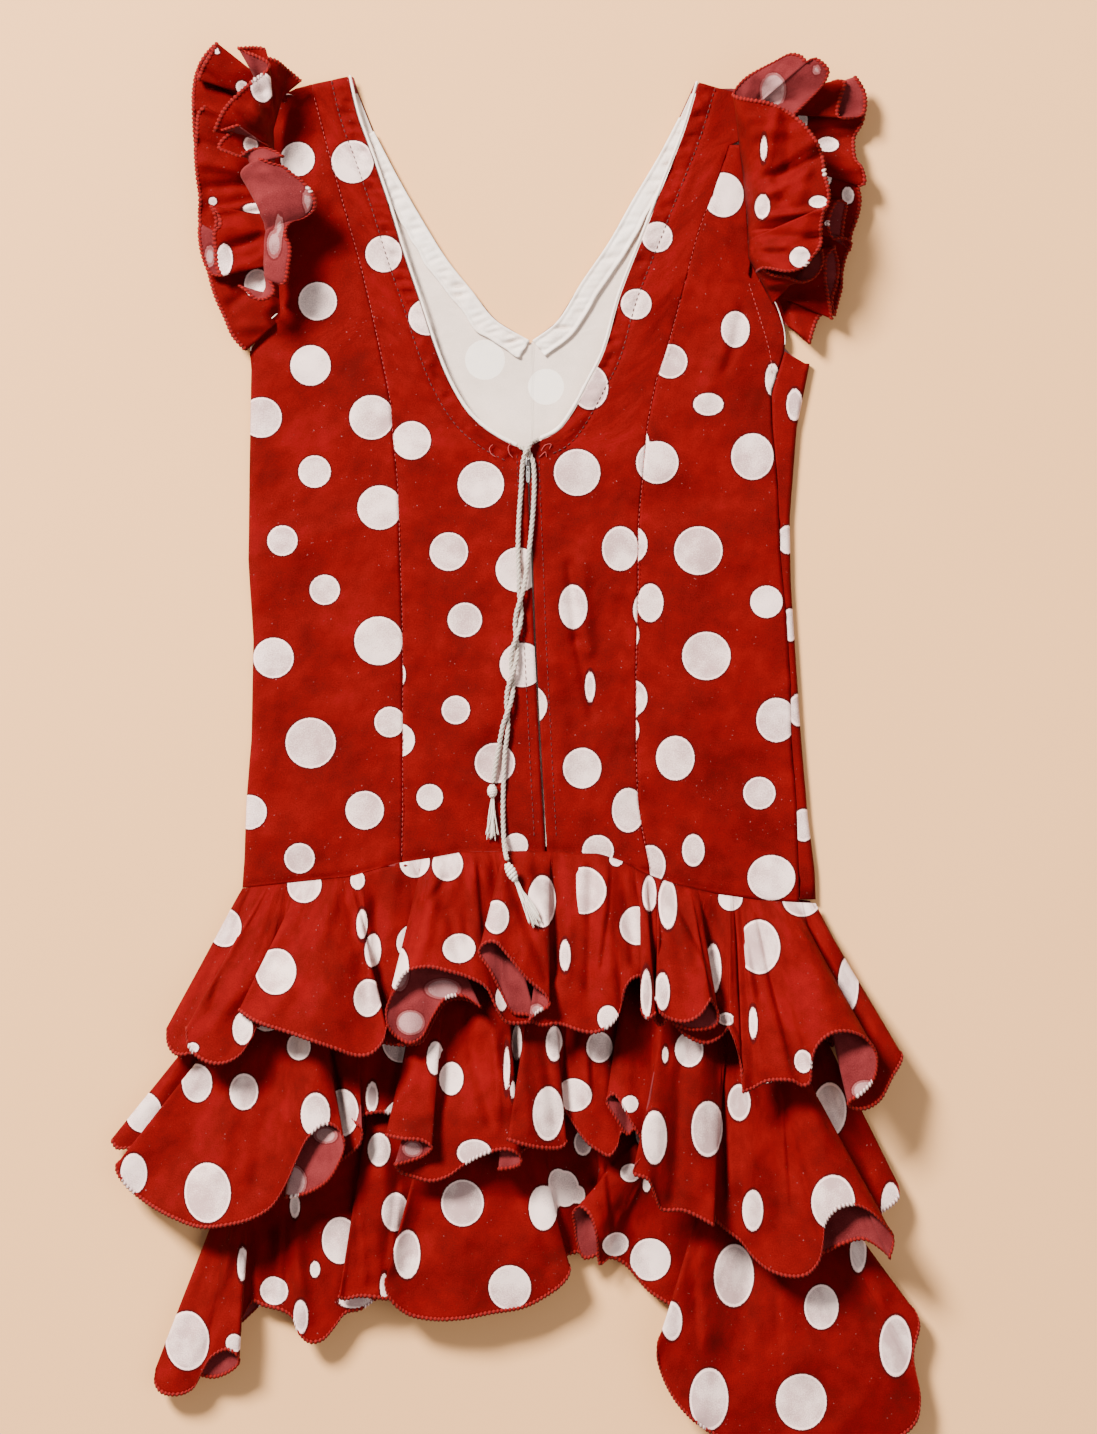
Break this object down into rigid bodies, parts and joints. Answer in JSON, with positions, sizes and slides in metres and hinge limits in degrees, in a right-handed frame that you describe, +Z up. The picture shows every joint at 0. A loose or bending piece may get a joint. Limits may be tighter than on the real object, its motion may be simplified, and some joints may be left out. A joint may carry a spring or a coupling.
{
  "type": "flamenco dress",
  "caption": "Child's flamenco dress laid flat back side up: princess-cut sleeveless bodice with V front and U back neck, frilled armholes, twisted neck cords and tiers of folded flounces.",
  "frame": {"origin": "on the surface that the dress lies on, under the middle of its bounding box", "axes": "+Z up, away from the surface, out of the back of the dress; +Y from hem to shoulders; +X to the right as the back is looked at"},
  "size_m": [0.4038, 0.7006, 0.0483],
  "materials": {
    "red_cotton": "matt plain-weave cotton, red with white polka dots",
    "white_lining": "matt thin white lining and bias tape",
    "white_cord": "matt braided white cord and corded piping",
    "zip_tape": "woven mauve-grey tape",
    "zip_metal": "dull grey metal"
  },
  "bodies": {
    "dress": {"back_centre_left": "red_cotton", "back_centre_right": "red_cotton", "back_side_left": "red_cotton", "back_side_right": "red_cotton", "cord_a": "white_cord", "cord_b": "white_cord", "flounce_1_back": "red_cotton", "flounce_1_front": "red_cotton", "flounce_2_back": "red_cotton", "flounce_2_front": "red_cotton", "flounce_3_back": "red_cotton", "flounce_3_front": "red_cotton", "frill_left_lower": "red_cotton", "frill_left_upper": "red_cotton", "frill_right_lower": "red_cotton", "frill_right_upper": "red_cotton", "front_bodice": "red_cotton", "front_lining": "white_lining", "neck_facing_left": "white_lining", "neck_facing_right": "white_lining", "neck_piping_left": "white_cord", "neck_piping_right": "white_cord", "skirt_base_back": "red_cotton", "skirt_base_front": "red_cotton", "tassel_a": "white_cord", "tassel_b": "white_cord", "zip_slider": "zip_metal", "zip_tape": "zip_tape"},
    "pull_tab": {"zip_pull": "zip_metal"}
  },
  "joints": [
    {"name": "pull_tab_hinge", "type": "hinge", "parent": "dress", "child": "pull_tab", "pos_m": [0.0063, 0.1405, 0.0077], "axis": [-1, 0, 0], "range_deg": [0, 100]}
  ]
}
